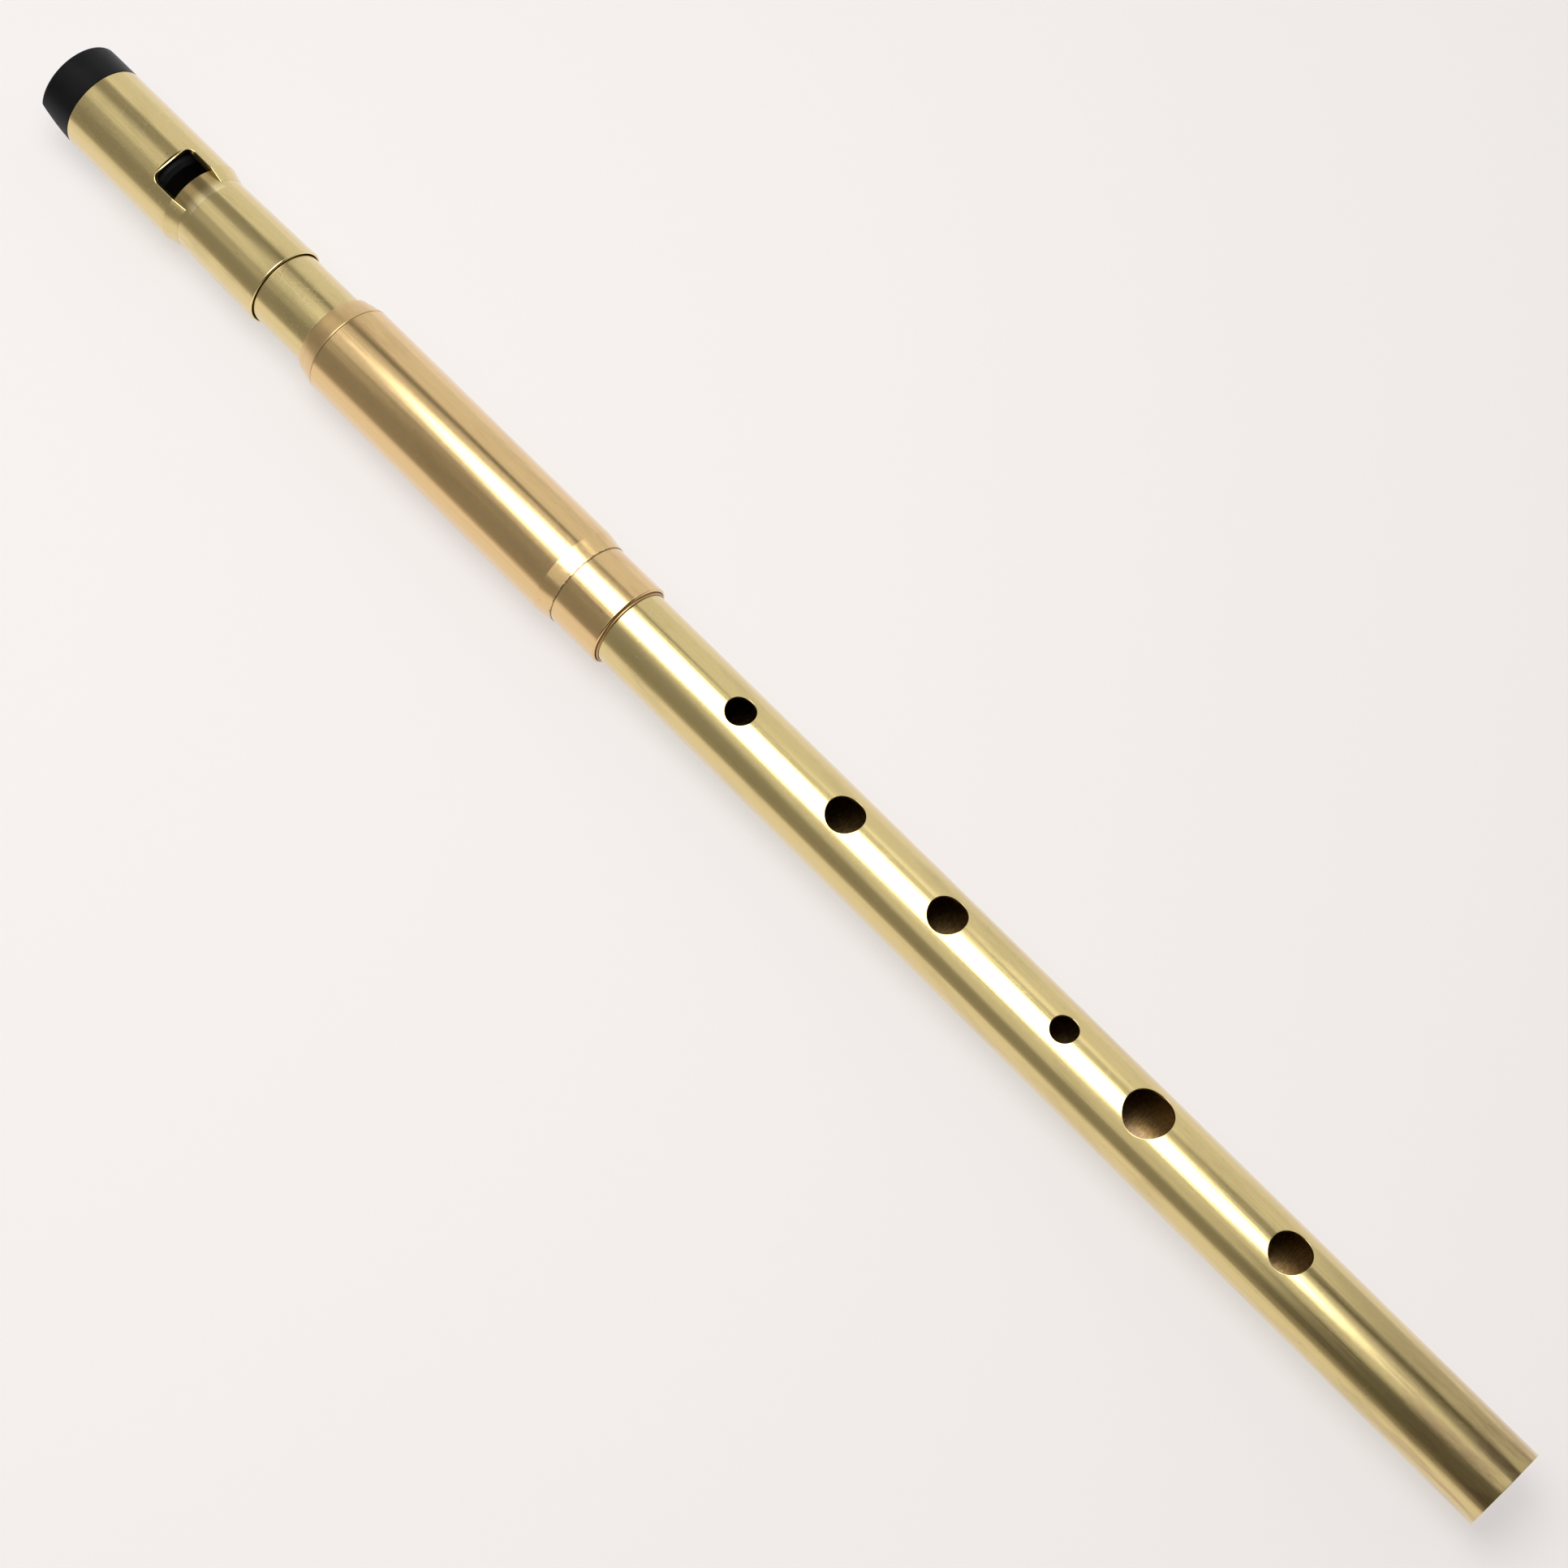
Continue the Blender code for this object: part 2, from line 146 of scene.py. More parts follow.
class JointSizes(PropertyGroup):
    collar_radius: length("Collar radius", "Outside radius of the collar", 0.0142)
    collar_wall: length("Collar wall", "Thickness of the joint tube", 0.0008)
    cone_length: length("Cone length", "Length of the sleeve's coned end", 0.0060)
    cone_edge: length("Cone edge", "Step left at the small end of the cone", 0.00015)
    ring_land: length("Ring land", "Straight part of the end ring at its seat", 0.0002)
    ring_bore: length("Ring bore", "Inside radius of the end ring", 0.0129)
    nose_wall: length("Nose wall", "Thickness of the end ring's nose", 0.0010)
    nose_round: length("Nose round", "Rounding of the end ring's nose", 0.00045)
    spigot: length("Spigot", "Length of the end ring's spigot in the joint", 0.025)
    tuning_radius: length("Tuning radius", "Outside radius of the tuning tube", 0.0126)
    tuning_wall: length("Tuning wall", "Thickness of the tuning tube", 0.0007)


class HeadSizes(PropertyGroup):
    radius: length("Radius", "Outside radius of the head sleeve", 0.0145)
    tube_radius: length("Tube radius", "Outside radius of the head tube", 0.01305)
    tube_wall: length("Tube wall", "Thickness of the head tube", 0.0006)
    neck_widening: length("Neck widening", "How much wider the neck's rim is", 0.0006)
    shoulder: length("Shoulder", "Length of the cone between the sleeve and the neck", 0.0053)
    ramp: length("Ramp", "Length of the ramp that leads to the blade", 0.00835)
    blade_gap: length("Blade gap", "Distance of the blade above the shoulder", 0.00035)
    blade_thickness: length("Blade thickness", "Thickness of the blade's edge", 0.0002)
    window_width: length("Window width", "Width of the window across the sleeve", 0.0154)
    window_length: length("Window length", "Length of the window from the blade", 0.0093)
    window_corner: length("Window corner", "Radius of the window's upper corners", 0.0025)
    window_edge: length("Window edge", "Rounding of the window's rim", 0.00022)
    windway_width: length("Windway width", "Width of the windway", 0.0138)
    windway_in: length("Windway inlet", "Height of the windway at the mouth", 0.0020)
    windway_out: length("Windway outlet", "Height of the windway at the window", 0.0015)
    floor_shown: length("Floor shown", "Windway floor that shows in the window", 0.0012)
    plug_chamfer: length("Plug chamfer", "Chamfer round the plug's front", 0.0020)
    plug_edge: length("Plug edge", "Rounding of the plug's mouth end", 0.0010)
    beak_height: length("Beak height", "Height of the beak's tip above the axis", 0.0052)
    beak_slope: FloatProperty(
        name="Beak slope",
        description="Slope of the scoop at the beak's tip",
        default=math.radians(23),
        unit="ROTATION",
    )
    scoop_radius: length("Scoop radius", "Radius of the scoop under the beak", 0.112)
    twist: FloatProperty(
        name="Twist",
        description="Turn of the head on the tuning tube",
        default=math.radians(12.3),
        unit="ROTATION",
    )


class Finishes(PropertyGroup):
    brass: colour("Brass", "Yellow brass of the body, tuning tube and head", (0.80, 0.635, 0.28))
    tarnish: colour("Tarnish", "Dull olive of handled brass", (0.50, 0.40, 0.17))
    joint_brass: colour("Joint brass", "Warmer brass of the joint", (0.84, 0.59, 0.27))
    # Its brown is also the tenon's painted shade under the collar's lip.
    joint_tarnish_and_shade: colour("Joint tarnish", "Brown of the joint's brass", (0.52, 0.32, 0.12))
    bore: colour("Bore", "Dark brown of the unpolished bores", (0.40, 0.25, 0.09))
    plug: colour("Plug", "Black plastic of the plug", (0.005, 0.005, 0.006))
    floor: colour("Floor", "Pale floor of the studio", (0.875, 0.84, 0.83))


def foot():
    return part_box("body_tube")[1].x


def axis_height():
    lowest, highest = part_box("joint_sleeve")
    return (lowest.z + highest.z) / 2


def station(distance):
    """The X of a place given by its distance from the foot."""
    return foot() - distance


def span(node):
    """The distances from the foot at which a node of the frame starts and ends."""
    lowest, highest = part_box(node)
    return foot() - highest.x, foot() - lowest.x


def arc(centre, radius, start, end, steps=ARC_STEPS):
    """Points on an arc about a (distance, radius) centre, angles in degrees."""
    turn = (end - start) / steps
    angles = [math.radians(start + turn * step) for step in range(steps + 1)]
    return [
        (centre[0] + radius * math.cos(angle), centre[1] + radius * math.sin(angle))
        for angle in angles
    ]


def tube_outline(low, high, bore, radius, edge):
    """A plain tube with its four end edges rounded."""
    return [
        *arc((low + edge, bore + edge), edge, 270, 180, EDGE_STEPS),
        *arc((low + edge, radius - edge), edge, 180, 90, EDGE_STEPS),
        *arc((high - edge, radius - edge), edge, 90, 0, EDGE_STEPS),
        *arc((high - edge, bore + edge), edge, 360, 270, EDGE_STEPS),
    ]


def flared_rim(reach, edge):
    """The rounded rim of a cut, as (reach, height), run out past the wall's surface."""
    rim = arc((reach + edge, -edge), edge, 180, 90 + FLARE_TILT)
    across, height = rim[-1]
    rise = FLARE_RUN * math.tan(math.radians(FLARE_TILT))
    return [*rim, (across + FLARE_RUN, height + rise)]


def with_rings(outline, closed):
    """Add the points that become rings beside the corners and along the walls."""
    ends = outline[1:] + outline[:1] if closed else outline[1:]
    points = []
    for here, there in zip(outline, ends):
        points.append(here)
        reach = math.dist(here, there)
        if reach < 4 * CORNER_RING:
            continue
        inner = reach - 2 * CORNER_RING
        count = math.ceil(inner / RING_SPACING)
        for step in range(count + 1):
            share = (CORNER_RING + inner * step / count) / reach
            distance = here[0] + (there[0] - here[0]) * share
            radius = here[1] + (there[1] - here[1]) * share
            points.append((distance, radius))
    if not closed:
        points.append(outline[-1])
    return points


def as_object(name, shape):
    """Turn a finished bmesh into an object with its faces pointing outwards."""
    bmesh.ops.recalc_face_normals(shape, faces=shape.faces)
    mesh = bpy.data.meshes.new(name)
    shape.to_mesh(mesh)
    shape.free()
    piece = bpy.data.objects.new(name, mesh)
    bpy.context.scene.collection.objects.link(piece)
    return piece


def swept(places, axis, steps, closed):
    """Join places by edges and sweep them right round an axis through the origin."""
    shape = bmesh.new()
    points = [shape.verts.new(place) for place in places]
    edges = [shape.edges.new(pair) for pair in zip(points, points[1:])]
    if closed:
        edges.append(shape.edges.new((points[-1], points[0])))
    bmesh.ops.spin(
        shape,
        geom=points + edges,
        cent=(0, 0, 0),
        axis=axis,
        angle=2 * math.pi,
        steps=steps,
        use_merge=True,
    )
    bmesh.ops.remove_doubles(shape, verts=shape.verts, dist=WELD)
    return shape


def turned(name, outline, closed=True):
    """Sweep an outline of (distance, radius) points round the bore axis."""
    places = [(station(distance), 0, radius) for distance, radius in with_rings(outline, closed)]
    return as_object(name, swept(places, (1, 0, 0), FACETS, closed))


def part_turned(name, outline, half_angle):
    """Sweep a face of (distance, radius) points to half_angle each side of the top."""
    shape = bmesh.new()
    side, up = math.sin(half_angle), math.cos(half_angle)
    places = [(station(distance), radius * side, radius * up) for distance, radius in outline]
    face = shape.faces.new([shape.verts.new(place) for place in places])
    bmesh.ops.spin(
        shape,
        geom=[face, *face.edges, *face.verts],
        cent=(0, 0, 0),
        axis=(1, 0, 0),
        angle=2 * half_angle,
        steps=math.ceil(FACETS * half_angle / math.pi),
    )
    return as_object(name, shape)


def drill(name, distance, diameter, radius, edge):
    """A cutter for one finger hole, its flare laid over the round of the tube."""
    hole = diameter / 2
    flare = flared_rim(hole, edge)
    outline = [
        (0, -2 * OVERCUT),
        (hole, -2 * OVERCUT),
        *flare,
        (flare[-1][0], OVERCUT),
        (0, OVERCUT),
    ]
    places = [(across, 0, height) for across, height in outline]
    shape = swept(places, (0, 0, 1), HOLE_FACETS, closed=False)
    for vertex in shape.verts:
        vertex.co.z += math.sqrt(radius**2 - vertex.co.y**2)
    bmesh.ops.translate(shape, verts=shape.verts, vec=(station(distance), 0, 0))
    return as_object(name, shape)


def carve(piece, cutter):
    """Cut a piece with an exact boolean and remove the cutter."""
    modifier = piece.modifiers.new("carve", "BOOLEAN")
    modifier.operation = "DIFFERENCE"
    modifier.solver = "EXACT"
    modifier.object = cutter
    depsgraph = bpy.context.evaluated_depsgraph_get()
    carved = bpy.data.meshes.new_from_object(piece.evaluated_get(depsgraph))
    piece.modifiers.clear()
    plain = piece.data
    piece.data = carved
    bpy.data.meshes.remove(plain)
    bpy.data.meshes.remove(cutter.data)


def shade_round(mesh, height):
    """Smooth the rounded edges, and shade every wall as a true round or cone.

    A corner normal on a wall loses the part that leans round the bore, so that
    the facets and the cuts through them leave no mark.
    """
    mesh.shade_smooth()
    mesh.set_sharp_from_angle(angle=SHARP_EDGE)
    normals = [corner.vector.copy() for corner in mesh.corner_normals]
    for face in mesh.polygons:
        middle = face.center
        around = Vector((0, height - middle.z, middle.y)).normalized()
        if abs(face.normal.dot(around)) > CUT_LEAN:
            continue
        places = [mesh.vertices[index].co for index in face.vertices]
        reach = max(place.x for place in places) - min(place.x for place in places)
        lean = abs(face.normal.x)
        plain = lean < STRAIGHT_LEAN or (lean < CONE_LEAN and reach > CONE_REACH)
        for loop, place in zip(face.loop_indices, places):
            tangent = Vector((0, height - place.z, place.y)).normalized()
            normal = face.normal if plain else normals[loop]
            normal = normal - tangent * normal.dot(tangent)
            normals[loop] = normal.normalized()
    mesh.normals_split_custom_set(normals)


def dress(piece, node, body, material, twist=0.0):
    """Put a piece in its place, shade it, and let it stand for a node of the frame."""
    height = axis_height()
    lift = Matrix.Translation((0, 0, height))
    piece.data.transform(lift @ Matrix.Rotation(twist, 4, "X"))
    shade_round(piece.data, height)
    piece.data.materials.clear()
    piece.data.materials.append(material)
    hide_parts(node)
    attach(piece, body)


# The sockets of a colour Mix node: its share, its two colours, and its result.
MIX_INPUTS = (0, 6, 7)
MIX_RESULT = 2


class Graph:
    """Shorthand for building the nodes of one material."""

    def __init__(self, name):
        self.material = bpy.data.materials.new(name)
        self.material.use_nodes = True
        self.nodes = self.material.node_tree.nodes
        self.links = self.material.node_tree.links
        self.shader = self.nodes["Principled BSDF"]
        self.place = self.add("ShaderNodeTexCoord").outputs["Object"]

    def add(self, kind, **settings):
        node = self.nodes.new(kind)
        for key, value in settings.items():
            setattr(node, key, value)
        return node

    def plug_in(self, socket, value):
        if isinstance(value, bpy.types.NodeSocket):
            self.links.new(value, socket)
        else:
            socket.default_value = value

    def math(self, operation, *values, clamp=False):
        node = self.add("ShaderNodeMath", operation=operation, use_clamp=clamp)
        for socket, value in zip(node.inputs, values):
            self.plug_in(socket, value)
        return node.outputs[0]

    def blend_of(self, *shares):
        """The sum of (value, share) pairs, each value times its share."""
        total = None
        for value, share in shares:
            part = value if share == 1.0 else self.math("MULTIPLY", value, share)
            total = part if total is None else self.math("ADD", total, part)
        return total

    def stretched(self, scale, offset, slant):
        """The place turned by a slant about Z, and then scaled."""
        node = self.add("ShaderNodeMapping", vector_type="TEXTURE")
        node.inputs["Scale"].default_value = [1 / part for part in scale]
        node.inputs["Location"].default_value = offset
        node.inputs["Rotation"].default_value = (0, 0, slant)
        self.links.new(self.place, node.inputs["Vector"])
        return node.outputs[0]

    def noise(self, scale, offset=(0, 0, 0), detail=3.0, roughness=0.55, slant=0.0):
        """Noise with a scale in repeats per metre along X, Y and Z."""
        node = self.add("ShaderNodeTexNoise")
        self.links.new(self.stretched(scale, offset, slant), node.inputs["Vector"])
        node.inputs["Scale"].default_value = 1.0
        node.inputs["Detail"].default_value = detail
        node.inputs["Roughness"].default_value = roughness
        return node.outputs["Fac"]

    def spread(self, value, low, high, to_low=0.0, to_high=1.0):
        """Map low..high smoothly to to_low..to_high."""
        node = self.add("ShaderNodeMapRange", interpolation_type="SMOOTHSTEP")
        for socket, number in zip(node.inputs, (value, low, high, to_low, to_high)):
            self.plug_in(socket, number)
        return node.outputs[0]

    def mix(self, share, first, second):
        node = self.add("ShaderNodeMix", data_type="RGBA")
        for index, value in zip(MIX_INPUTS, (share, first, second)):
            self.plug_in(node.inputs[index], value)
        return node.outputs[MIX_RESULT]

    def bump(self, height, strength, distance):
        node = self.add("ShaderNodeBump")
        node.inputs["Strength"].default_value = strength
        node.inputs["Distance"].default_value = distance
        self.links.new(height, node.inputs["Height"])
        self.links.new(node.outputs["Normal"], self.shader.inputs["Normal"])

    def radius_from_axis(self):
        """How far the place is from the bore axis, and its X."""
        parts = self.add("ShaderNodeSeparateXYZ")
        self.links.new(self.place, parts.inputs[0])
        side = self.math("MULTIPLY", parts.outputs["Y"], parts.outputs["Y"])
        up = self.math("SUBTRACT", parts.outputs["Z"], axis_height())
        up = self.math("MULTIPLY", up, up)
        return self.math("SQRT", self.math("ADD", side, up)), parts.outputs["X"]


def opaque(value):
    return (*value, 1.0)


# Fine and coarse brushing lines, in repeats per metre along X, Y and Z.
BRUSHING = {
    "along": ((16, 2600, 2600), (5, 700, 700)),
    "round": ((3600, 20, 20), (900, 6, 6)),
}

# The brass's other patterns, in the same measure.
CLOUDS = (28, 90, 90)
SPECKS = (1100, 1900, 1900)
SCUFFS = (50, 2400, 900)
CROSS_SCUFFS = (60, 2000, 900)
SOLDER_BEADS = (700, 900, 900)
SMEARS_AND_REFLECTION = (40, 260, 260)
DRAWN_LINES = (2200, 700, 700)

# How strongly each of them shows in the colour.
LINED = 0.14
SCUFFED = 0.16
PATCHED = 0.50
SPOTTED = 0.55
SMEARED_AND_REFLECTED = 0.75

# What the patterns add to the roughness, the fine lines from the first to the second.
LINE_ROUGHNESS = (-0.05, 0.09)
PATCH_ROUGHNESS = 0.12
SCUFF_ROUGHNESS = 0.25
BORE_ROUGHNESS = 0.2

# Relief of the brushing, and of the plastic: strength and depth.
BRASS_RELIEF = (0.12, 0.00004)
PLASTIC_RELIEF = (0.10, 0.00006)

# Brass is plainly brushed, worn by hands, turned with a tool, or left bare.
BRUSHED_ROUGHNESS = 0.16
HANDLED_ROUGHNESS = 0.19
TURNED_ROUGHNESS = 0.34
BARE_ROUGHNESS = 0.36
HEAD_WEAR = 1.3
TUNING_WEAR = 1.5

# How much of the light the brushing spreads sideways, and a soft second gloss over it.
BRUSHED_SPREAD = 0.6
GLOSS_WEIGHT = 0.8
GLOSS_ROUGHNESS = 0.22

# Past the bore's radius, where its dark colour starts to end and has ended.
BORE_RIM = (0.00005, 0.00018)

# The brown marks near the foot, partly tarnish and partly a painted reflection: where
# they start and where they are full, and their colour.
STAIN_AND_REFLECTION_FROM, STAIN_AND_REFLECTION_FULL = 0.060, 0.008
STAIN_AND_REFLECTION_BROWN = (0.50, 0.33, 0.17)

# The solder at the sleeve's cone: its width, and its colour as a share of the tarnish.
SOLDER_WIDTH = 0.0003
SOLDER_TONE = 0.45

# The ramp is painted with light and shade: how deep the painting starts and is full,
# where past the blade its painted shade turns to a painted highlight, and how deep the
# painted line of light on its lip lies.
RAMP_DEPTH = (0.00001, 0.00004)
RAMP_TURN = (0.0035, 0.0075)
RAMP_PAINTED_SHADE = (0.44, 0.32, 0.12)
RAMP_PAINTED_HIGHLIGHT = (0.88, 0.72, 0.36)
LIP_DEPTH = 0.000025
LIP_STRENGTH = 0.6
LIP_LIGHT = (0.98, 0.86, 0.52)


def with_solder(graph, tone, along, place, colour_of_solder):
    """A beaded line of solder round the tube at a place along X."""
    away = graph.math("ABSOLUTE", graph.math("SUBTRACT", along, place))
    beads = graph.noise(SOLDER_BEADS, (0.2, 0.5, 1.9), detail=2.0)
    reach = graph.math("MULTIPLY", graph.spread(beads, 0.35, 0.75, 0.5, 2.4), SOLDER_WIDTH)
    line = graph.math("SUBTRACT", 1.0, graph.math("DIVIDE", away, reach), clamp=True)
    return graph.mix(graph.spread(line, 0.0, 0.35), tone, opaque(colour_of_solder))


def with_stain(graph, tone, along, clean, stained):
    """Brown tarnish with a painted reflection, growing from one place along X to another."""
    smears_and_reflection = graph.noise(SMEARS_AND_REFLECTION, (0.6, 0.1, 1.4), detail=5.0, roughness=0.65)
    smears_and_reflection = graph.spread(smears_and_reflection, 0.42, 0.66, 0.0, SMEARED_AND_REFLECTED)
    smears_and_reflection = graph.math("MULTIPLY", smears_and_reflection, graph.spread(along, clean, stained))
    # Brown for the tarnish near the foot and for a painted reflection there.
    return graph.mix(smears_and_reflection, tone, opaque(STAIN_AND_REFLECTION_BROWN))


def with_painted_ramp_light(graph, tone, along, radius, start, blade, outside, widening):
    """The painted shade and highlights of a ramp cut into a tube that widens from start on."""
    reach = graph.math("MAXIMUM", graph.math("SUBTRACT", along, start), 0.0)
    skin = graph.math("ADD", graph.math("MULTIPLY", reach, widening), outside)
    depth = graph.math("SUBTRACT", skin, radius)
    # Painted shade near the blade, turning to a painted highlight towards the ramp's foot.
    turn = graph.spread(along, blade + RAMP_TURN[0], blade + RAMP_TURN[1])
    cut = graph.mix(turn, opaque(RAMP_PAINTED_SHADE), opaque(RAMP_PAINTED_HIGHLIGHT))
    tone = graph.mix(graph.spread(depth, *RAMP_DEPTH), tone, cut)
    # A painted line of light along the ramp's lip.
    off_lip = graph.math("ABSOLUTE", graph.math("MULTIPLY_ADD", depth, 1 / LIP_DEPTH, -1.0))
    lip = graph.math("SUBTRACT", 1.0, off_lip)
    lip = graph.math("MULTIPLY", lip, LIP_STRENGTH, clamp=True)
    return graph.mix(lip, tone, opaque(LIP_LIGHT))


def drawn_bore(graph, inside):
    """The uneven dark colour of a drawn tube's inside."""
    drawn = graph.spread(graph.noise(DRAWN_LINES, (0.9, 0.4, 0.2)), 0.30, 0.70)
    darker, lighter = ([part * share for part in inside] for share in (0.7, 1.3))
    return graph.mix(drawn, opaque(darker), opaque(lighter))


def brass(
    name,
    bright,
    dull,
    inside,
    bore,
    lines="along",
    roughness=BRUSHED_ROUGHNESS,
    wear=1.0,
    solder=None,
    ramp=None,
    stain=None,
):
    """Brushed brass: fine lines, faint mottling, scuffs and specks, and a dark bore.

    Lines run along the tube, or round it where the piece was turned. Solder, ramp and
    stain are the values that their helpers above take. The ramp's colours are painted
    shade and painted highlights, and the brown near the foot is partly tarnish and partly a
    painted reflection.
    """
    graph = Graph(name)
    fine, coarse = BRUSHING[lines]
    hairlines = graph.noise(fine, detail=4.0, roughness=0.7)
    bands = graph.noise(coarse, (0.3, 1.7, 0.9), detail=2.0)
    clouds = graph.noise(CLOUDS, (4.1, 0.2, 2.3), detail=4.0, roughness=0.6)
    specks = graph.noise(SPECKS, (0.7, 3.1, 1.1), detail=1.0)
    scuffs = graph.math(
        "MAXIMUM",
        graph.noise(SCUFFS, (0.11, 0.02, 0.05), detail=2.0, slant=0.75),
        graph.noise(CROSS_SCUFFS, (0.07, 0.03, 0.01), detail=2.0, slant=-1.1),
    )
    lined = graph.spread(hairlines, 0.30, 0.75, 0.0, LINED)
    patches = graph.spread(clouds, 0.48, 0.78, 0.0, PATCHED * wear)
    spots = graph.spread(specks, 0.74, 0.80, 0.0, SPOTTED * wear)
    scuffs = graph.spread(scuffs, 0.60, 0.76, 0.0, SCUFFED * wear)

    tone = graph.mix(patches, opaque(bright), opaque(dull))
    tone = graph.mix(lined, tone, opaque(dull))
    tone = graph.mix(scuffs, tone, opaque([part**0.5 for part in bright]))
    tone = graph.mix(spots, tone, opaque([part * 0.35 for part in dull]))
    radius, along = graph.radius_from_axis()
    if solder is not None:
        tone = with_solder(graph, tone, along, *solder)
    if stain is not None:
        tone = with_stain(graph, tone, along, *stain)
    # The ramp's painted shade and painted highlights.
    if ramp is not None:
        tone = with_painted_ramp_light(graph, tone, along, radius, *ramp)
    inner = graph.spread(radius, bore + BORE_RIM[0], bore + BORE_RIM[1], 1.0, 0.0)
    tone = graph.mix(inner, tone, drawn_bore(graph, inside))

    least, most = (roughness + change for change in LINE_ROUGHNESS)
    rough = graph.blend_of(
        (graph.spread(hairlines, 0.25, 0.8, least, most), 1.0),
        (patches, PATCH_ROUGHNESS),
        (scuffs, SCUFF_ROUGHNESS),
        (inner, BORE_ROUGHNESS),
    )
    graph.bump(graph.blend_of((hairlines, 0.6), (bands, 0.4)), *BRASS_RELIEF)

    shader = graph.shader
    graph.links.new(tone, shader.inputs["Base Color"])
    graph.links.new(rough, shader.inputs["Roughness"])
    shader.inputs["Metallic"].default_value = 1.0
    shader.inputs["Coat Weight"].default_value = GLOSS_WEIGHT
    shader.inputs["Coat Roughness"].default_value = GLOSS_ROUGHNESS
    shader.inputs["Anisotropic"].default_value = BRUSHED_SPREAD
    shader.inputs["Anisotropic Rotation"].default_value = 0.0 if lines == "along" else 0.25
    tangent = graph.add("ShaderNodeTangent", direction_type="RADIAL", axis="X")
    graph.links.new(tangent.outputs[0], shader.inputs["Tangent"])
    return graph.material


def yellow_brass(name, finish, bore, **looks):
    """The brass of the body, the tuning tube and the head."""
    return brass(name, finish.brass, finish.tarnish, finish.bore, bore, **looks)


def warm_brass(name, finish, bore, **looks):
    """The warmer brass of the joint."""
    return brass(name, finish.joint_brass, finish.joint_tarnish_and_shade, finish.bore, bore, **looks)


# The plastic's patterns, in repeats per metre along X, Y and Z.
GRAIN = (2600, 2600, 2600)
TURNING_MARKS = (1500, 40, 40)
SMUDGES = (90, 120, 120)


def black_plastic(name, tint):
    """Satin plastic with a fine grain, faint turning marks and smudges."""
    graph = Graph(name)
    grain = graph.noise(GRAIN, detail=3.0, roughness=0.6)
    turning = graph.noise(TURNING_MARKS, (0.4, 0.1, 0.8), detail=2.0)
    smudges = graph.noise(SMUDGES, (1.3, 2.2, 0.4), detail=3.0)
    smudged = graph.spread(smudges, 0.35, 0.75, 0.0, 0.5)
    tone = graph.mix(smudged, opaque(tint), opaque([part * 1.8 for part in tint]))
    rough = graph.math(
        "ADD",
        graph.spread(smudges, 0.3, 0.8, 0.34, 0.46),
        graph.spread(grain, 0.2, 0.8, -0.03, 0.05),
    )
    graph.links.new(tone, graph.shader.inputs["Base Color"])
    graph.links.new(rough, graph.shader.inputs["Roughness"])
    graph.shader.inputs["Specular IOR Level"].default_value = 0.15
    graph.bump(graph.blend_of((grain, 0.5), (turning, 0.5)), *PLASTIC_RELIEF)
    return graph.material


def make_body_tube(sizes, finish):
    """The long tube with its six finger holes."""
    bore = sizes.radius - sizes.wall
    outline = tube_outline(*span("body_tube"), bore, sizes.radius, sizes.end_edge)
    body = turned("whistle_body", outline)
    for distance, diameter in zip(sizes.hole_places, sizes.hole_diameters):
        carve(body, drill("drill", distance, diameter, sizes.radius, sizes.hole_edge))
    # Tarnish near the foot, with a painted reflection in it.
    stain = (station(STAIN_AND_REFLECTION_FROM), station(STAIN_AND_REFLECTION_FULL))
    metal = yellow_brass("body_brass", finish, bore, stain=stain)
    dress(body, "body_tube", "lower_body", metal)


def make_tenon(sizes, finish):
    """The thin bare sleeve on the body's upper end, with a rounded lip, in painted shade."""
    low, high = span("tenon_sleeve")
    inner = sizes.radius + SKIN
    outer = sizes.radius + CLEARANCE + sizes.tenon_wall
    lip = outer - inner - LAND
    outline = [
        (low + LAND, inner),
        *arc((low + lip, outer - lip), lip, 180, 90),
        (high, outer),
        (high, inner),
    ]
    sleeve = turned("whistle_tenon", outline)
    # Painted shade and reflection: the joint's brown and the bore's dark brown stand for the
    # crevice under the collar's lip.
    colours = finish.joint_tarnish_and_shade, finish.bore, finish.bore
    metal = brass("tenon_brass_painted_shade", *colours, inner, roughness=BARE_ROUGHNESS)
    dress(sleeve, "tenon_sleeve", "lower_body", metal)


class MakeBody(Operator):
    """Build the body tube with its finger holes, and the sleeve on its tenon"""

    bl_idname = "whistle.make_body"
    bl_label = "Make Body"

    def execute(self, context):
        sizes = context.scene.whistle_body
        finish = context.scene.whistle_finish
        make_body_tube(sizes, finish)
        make_tenon(sizes, finish)
        return {"FINISHED"}


# The joint sleeve covers its tube, so no bore shows up to this far inside its wall.
HIDDEN_BORE = 0.0005

# Chamfers of the end ring, and where on its nose the cone meets the rounding.
RING_CHAMFER = 0.0002
CONE_MEETS_NOSE = 76


def make_collar(sizes, finish):
    """The joint's inner tube, whose lower end is the collar with its rounded lip."""
    low, high = span("joint_tube")
    bore = sizes.collar_radius - sizes.collar_wall
    lip = sizes.collar_wall - EDGE
    outline = [
        (low, bore + LAND),
        *arc((low + lip, sizes.collar_radius - lip), lip, 180, 90),
        (high, sizes.collar_radius),
        (high, bore),
        (low + LAND, bore),
    ]
    tube = turned("whistle_collar", outline)
    dress(tube, "joint_tube", "joint", warm_brass("collar_brass", finish, bore))


